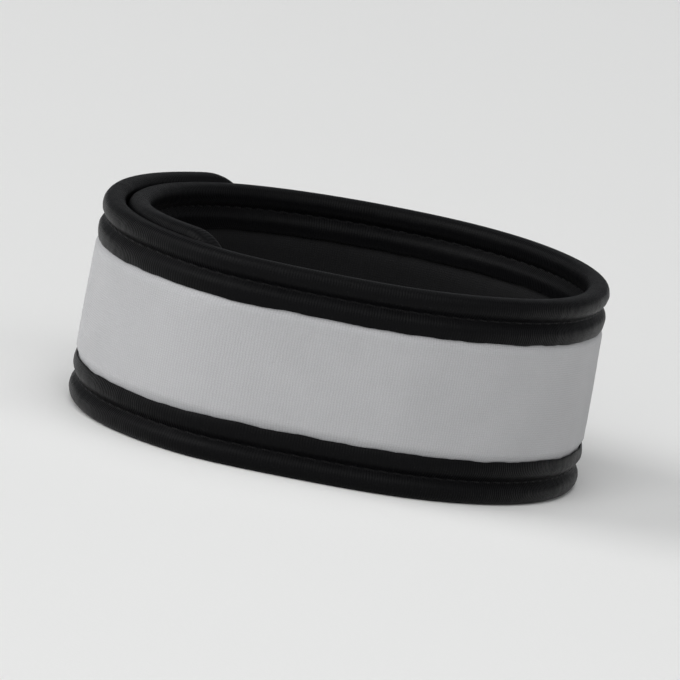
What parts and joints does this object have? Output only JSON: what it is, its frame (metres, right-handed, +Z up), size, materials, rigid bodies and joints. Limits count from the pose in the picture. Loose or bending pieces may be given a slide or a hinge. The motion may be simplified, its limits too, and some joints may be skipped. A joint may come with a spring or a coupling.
{
  "type": "bicep band",
  "caption": "Soft upper-arm strap closed in a loop, grey fabric face with black bound edges, its ends overlapping on the outer side.",
  "frame": {"origin": "on the surface the band stands on, under the middle of the whole band", "axes": "+Z up, along the arm's axis through the loop; -Y the wearer's front; -X the wearer's outer side, where the ends overlap"},
  "size_m": [0.0936, 0.0968, 0.0393],
  "materials": {
    "core_cloth": "matte black jersey over thin foam rubber",
    "grey_cloth": "matte mid-grey close-knit cloth",
    "binding_tape": "black stretch binding tape with fine cross ribs",
    "hook_and_loop": "matte black hook-and-loop"
  },
  "bodies": {
    "root": {"strap_core": "core_cloth", "grey_stripe": "grey_cloth", "edge_binding": "binding_tape", "closure_pad": "hook_and_loop"}
  },
  "joints": []
}
